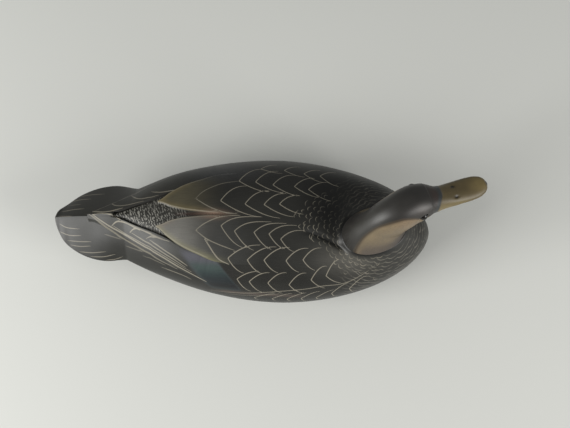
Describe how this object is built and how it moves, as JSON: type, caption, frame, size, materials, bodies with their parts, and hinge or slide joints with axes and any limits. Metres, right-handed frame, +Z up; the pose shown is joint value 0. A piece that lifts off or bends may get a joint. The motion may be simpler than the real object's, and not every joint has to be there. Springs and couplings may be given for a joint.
{
  "type": "carved duck decoy",
  "caption": "Carved and painted wooden duck decoy with a flat underside, relief wings, roof-shaped tail, turned head and glass eyes.",
  "frame": {"origin": "middle of the flat underside, at table height", "axes": "+X towards the breast and bill, +Y to the bird's left, +Z up"},
  "size_m": [0.4428, 0.1552, 0.1648],
  "materials": {
    "painted_body": "satin oil paint over carved wood, with fine pale feather lines",
    "painted_head": "satin oil paint over carved wood, dark crown, tan cheeks and olive bill",
    "eye_glass": "polished dark glass"
  },
  "bodies": {
    "root": {"body": "painted_body", "head": "painted_head", "eye_left": "eye_glass", "eye_right": "eye_glass"}
  },
  "joints": []
}
